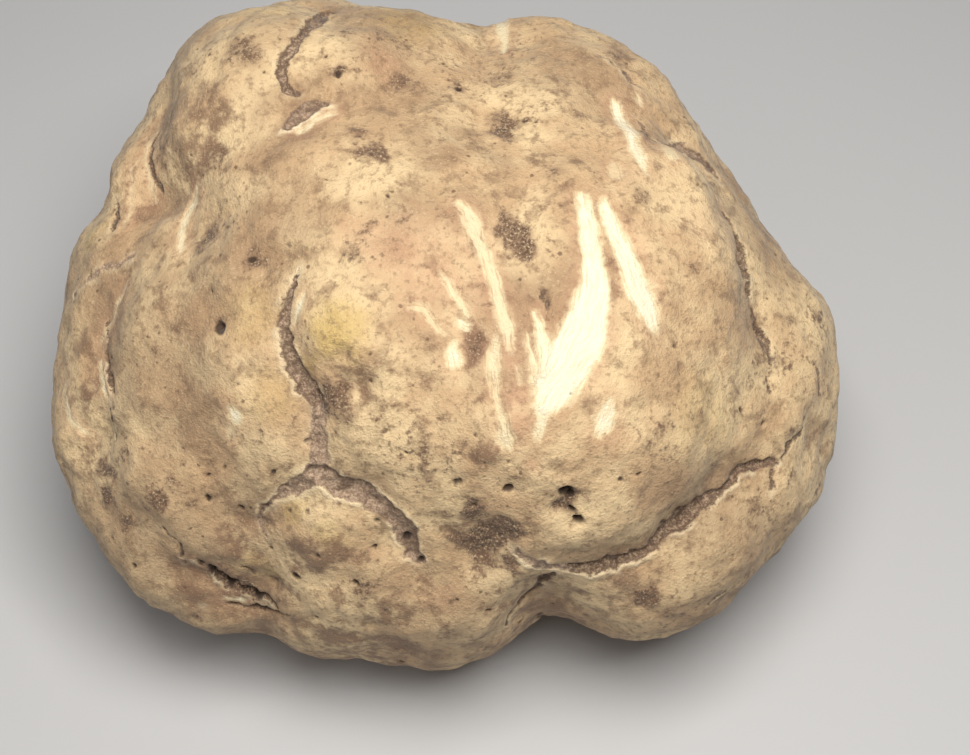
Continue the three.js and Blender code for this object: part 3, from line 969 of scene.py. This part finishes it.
def plain_skin(g, v):
    """Mottled and stained skin, with painted shade low down and in creases, painted light on crowns
    and fine painted highlight specks.
    """
    base = g.coat(SKIN_TAN, SKIN_LIGHT, v.broad, 0.38, 0.62)
    base = g.coat(base, BROWN_STAIN_AND_SHADE, v.vast, 0.5, 0.64, 0.45)
    base = g.coat(base, SKIN_DARK, v.middle, 0.5, 0.66, 0.55)
    base = g.blend(g.calc("MULTIPLY", v.ochre, 0.8), base, OCHRE_STAIN)
    base = g.blend(g.calc("MULTIPLY", v.pink, 0.6), base, PINK_STAIN)
    # painted shade: the skin is darker the lower it is
    low_shade = g.fade(v.height, LIGHT_ABOVE * MM, DARK_BELOW * MM, 0.0, 0.62)
    mottle_and_low_shade = g.calc("ADD", g.roughen(v.brown, v.middle_centred, 2.6), low_shade)
    mottle_and_low_shade = g.roughen(mottle_and_low_shade, v.fine_centred, 1.1)
    base = g.coat(base, BROWN_STAIN_AND_SHADE, mottle_and_low_shade, 0.1, 0.95, 0.9)
    # painted shade in creases, stronger the more hollow the body is there
    sunk = g.roughen(v.hollow, v.fine_centred, 1.0)
    base = g.coat(base, BROWN_STAIN_AND_SHADE, sunk, 0.1, 0.9, 0.6)
    # painted light on crowns, where the body bulges out
    base = g.coat(base, SKIN_LIGHT, v.hollow, -0.2, -0.9, 0.3)
    base = g.coat(base, SKIN_DARK, v.fine, 0.5, 0.66, 0.54)
    # fine pale specks: painted highlights on the grain
    return g.coat(base, CREAM, v.finest, 0.56, 0.74, 0.32)


def with_specks(g, v, base):
    """Small dark specks, at about one spot in seven."""
    near, which = g.spots(v.place, SPECK_SPOTS)
    chosen = g.fade(g.parts(which)[0], 0.82, 0.9)
    speck = g.calc("MULTIPLY", g.fade(g.roughen(near, v.fine_centred, 0.5), 0.2, 0.08), chosen)
    return g.blend(g.calc("MULTIPLY", speck, 0.75), base, SPECK)


def with_soil(g, v, base):
    """Soil patches, and a little soil nearly everywhere. Also says how gritty each place is."""
    strewn = g.fade(g.grain(v.place, *STREWN_GRAIN), 0.5, 0.7, 0.0, 0.42)
    base = g.coat(base, BROWN_STAIN_AND_SHADE, v.soil, 0.05, 0.9, 0.75)
    gritty = g.roughen(g.calc("MAXIMUM", v.soil, strewn), v.fine_centred, 1.7)
    gritty = g.roughen(gritty, v.middle_centred, 1.2)
    grit = g.coat(SOIL_DARK, SOIL_LIGHT, v.finest, 0.38, 0.7, 0.8)
    grit = g.coat(grit, BROWN_STAIN_AND_SHADE, v.middle, 0.44, 0.6, 0.4)
    # pale flecks in the soil: painted glints on its crumbs
    grit = g.coat(grit, CREAM, v.finest, 0.58, 0.7, 0.45)
    return g.coat(base, grit, gritty, 0.28, 0.85, 0.92), gritty


def with_scrapes(g, v, base):
    """Pale scrapes with torn fibres and gaps. Also gives the fibres and how far they show."""
    streak = g.field("streak")
    fibres = g.grain(g.scaled(streak, TORN_STRETCH), *TORN_GRAIN)
    gaps = g.grain(g.scaled(streak, GAP_STRETCH), *GAP_GRAIN)
    torn = g.roughen(v.scrape, g.calc("SUBTRACT", fibres, 0.5), 1.3)
    torn = g.roughen(torn, v.fine_centred, 1.0)
    least = g.fade(v.bright, 0.7, 1.0, 0.35, 0.65)
    gappy = g.calc("MULTIPLY_ADD", v.scrape, 0.09, gaps)
    shown = g.calc("MULTIPLY", g.fade(torn, 0.45, -0.55), g.fade(v.bright, 0.2, 1.0, 0.4, 1.0))
    shown = g.calc("MULTIPLY", shown, g.fade(gappy, 0.47, 0.62, 1.0, least))
    whitest = g.calc("MULTIPLY", g.fade(torn, 0.0, -0.9), g.fade(v.bright, 0.65, 1.0))
    whitest = g.calc("MULTIPLY", whitest, g.fade(gaps, 0.64, 0.42, 0.45, 1.0))
    base = g.coat(base, PINK_STAIN, v.scrape, 2.2, 0.1, 0.25)
    return g.blend(shown, base, g.blend(whitest, CREAM, CREAM_BRIGHT)), fibres, shown


def crack_filling(g, v, rough_crack):
    """Dusty soil in faint cracks, and dark soil in deep ones with a painted shadow along their
    edges.
    """
    dusty = g.blend(g.fade(v.finest, 0.36, 0.68, 0.1, 0.75), FILL_DARK, FILL_LIGHT)
    dusty = g.coat(dusty, CRACK_DARK, v.fine, 0.5, 0.64, 0.6)
    dusty = g.coat(dusty, CRACK_DARK, v.middle, 0.46, 0.62, 0.6)
    deep = g.coat(CRACK_DARK, SOIL_LIGHT, v.finest, 0.42, 0.62)
    deep = g.coat(deep, SOIL_DARK, v.fine, 0.48, 0.62, 0.8)
    filling = g.coat(dusty, deep, v.dark, 0.25, 0.85)
    # painted shadow along the inner edges of deep cracks
    edge_shadow = g.fade(rough_crack, -0.6, -0.15, 0.0, 0.7)
    edge_shadow = g.calc("MULTIPLY", edge_shadow, g.fade(v.dark, 0.1, 0.6))
    return g.blend(edge_shadow, filling, SOIL_DARK)


def with_cracks(g, v, base):
    """Broken pale rims, partly the skin's own pale edge and partly painted highlight, and ragged
    cracks with soil in them.
    """
    # pale rims: partly the skin's own pale edge, partly painted highlight on the crack's lit wall
    rim_shown = g.calc("MULTIPLY", v.rim, g.fade(v.fine, 0.3, 0.56, 0.4, 1.0))
    base = g.blend(rim_shown, base, RIM_PALE_AND_HIGHLIGHT)
    rough_crack = g.roughen(v.crack, v.fine_centred, 1.3)
    return g.coat(base, crack_filling(g, v, rough_crack), rough_crack, 0.12, -0.2, 0.95)


def add_bump(g, v, fibres, shown):
    """The finest relief: grain all over, and fibres in the scrapes."""
    bump = g.nodes.new("ShaderNodeBump")
    bump.inputs["Strength"].default_value = BUMP_STRENGTH
    bump.inputs["Distance"].default_value = BUMP_DISTANCE * MM
    relief = g.calc("MULTIPLY_ADD", v.finest, 0.5, v.fine)
    relief = g.calc("MULTIPLY_ADD", fibres, g.calc("MULTIPLY", shown, 0.45), relief)
    g.put(relief, bump.inputs["Height"])
    g.put(bump.outputs["Normal"], g.shader.inputs["Normal"])


def make_skin_material():
    g = Graph("truffle_skin")
    v = skin_values(g)
    base = with_specks(g, v, plain_skin(g, v))
    base, gritty = with_soil(g, v, base)
    base, fibres, shown = with_scrapes(g, v, base)
    base = with_cracks(g, v, base)
    base = g.coat(base, PIT_DARK, v.pit, 0.1, -0.25, 0.9)
    g.put(base, g.shader.inputs["Base Color"])
    g.put(g.fade(gritty, 0.3, 0.9, CLEAN_ROUGHNESS, SOIL_ROUGHNESS), g.shader.inputs["Roughness"])
    g.shader.inputs["Specular IOR Level"].default_value = 0.35
    g.shader.inputs["Sheen Weight"].default_value = 0.12
    g.shader.inputs["Sheen Roughness"].default_value = 0.5
    add_bump(g, v, fibres, shown)
    return g.material


# ---- studio ----


def make_camera():
    lift = math.radians(CAMERA_ELEVATION)
    back = np.array([0.0, -math.cos(lift), math.sin(lift)])
    data = bpy.data.cameras.new("camera")
    data.sensor_width = SENSOR_WIDTH
    data.lens = LENS
    camera = bpy.data.objects.new("camera", data)
    camera.location = Vector((CAMERA_AIM + CAMERA_DISTANCE * back) * MM)
    camera.rotation_euler = (math.pi / 2 - lift, 0.0, 0.0)
    bpy.context.scene.collection.objects.link(camera)
    bpy.context.scene.camera = camera


def make_lamp(name, place, size, watts, tint):
    """A square soft lamp that faces the truffle."""
    data = bpy.data.lights.new(name, "AREA")
    data.size = size * MM
    data.energy = watts
    data.color = tint
    lamp = bpy.data.objects.new(name, data)
    lamp.location = Vector(place) * MM
    lamp.rotation_euler = (Vector(MIDDLE) - Vector(place)).to_track_quat("-Z", "Y").to_euler()
    bpy.context.scene.collection.objects.link(lamp)


def make_studio():
    for row in LAMPS:
        make_lamp(*row)
    world = bpy.data.worlds.new("studio")
    world.use_nodes = True
    sky = world.node_tree.nodes["Background"]
    sky.inputs["Color"].default_value = SKY_TINT
    sky.inputs["Strength"].default_value = SKY_STRENGTH
    bpy.context.scene.world = world
    bpy.context.scene.view_settings.view_transform = "Standard"


def make_floor():
    half = FLOOR_HALF * MM
    corners = [(-half, -half, 0), (half, -half, 0), (half, half, 0), (-half, half, 0)]
    mesh = bpy.data.meshes.new("floor")
    mesh.from_pydata(corners, [], [(0, 1, 2, 3)])
    floor = bpy.data.objects.new("floor", mesh)
    bpy.context.scene.collection.objects.link(floor)
    g = Graph("floor")
    g.shader.inputs["Base Color"].default_value = FLOOR_GREY
    g.shader.inputs["Roughness"].default_value = FLOOR_ROUGHNESS
    mesh.materials.append(g.material)


# ---- scene ----

make_camera()
make_studio()
make_floor()
skin = make_skin()
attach(skin, "root")
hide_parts("truffle")
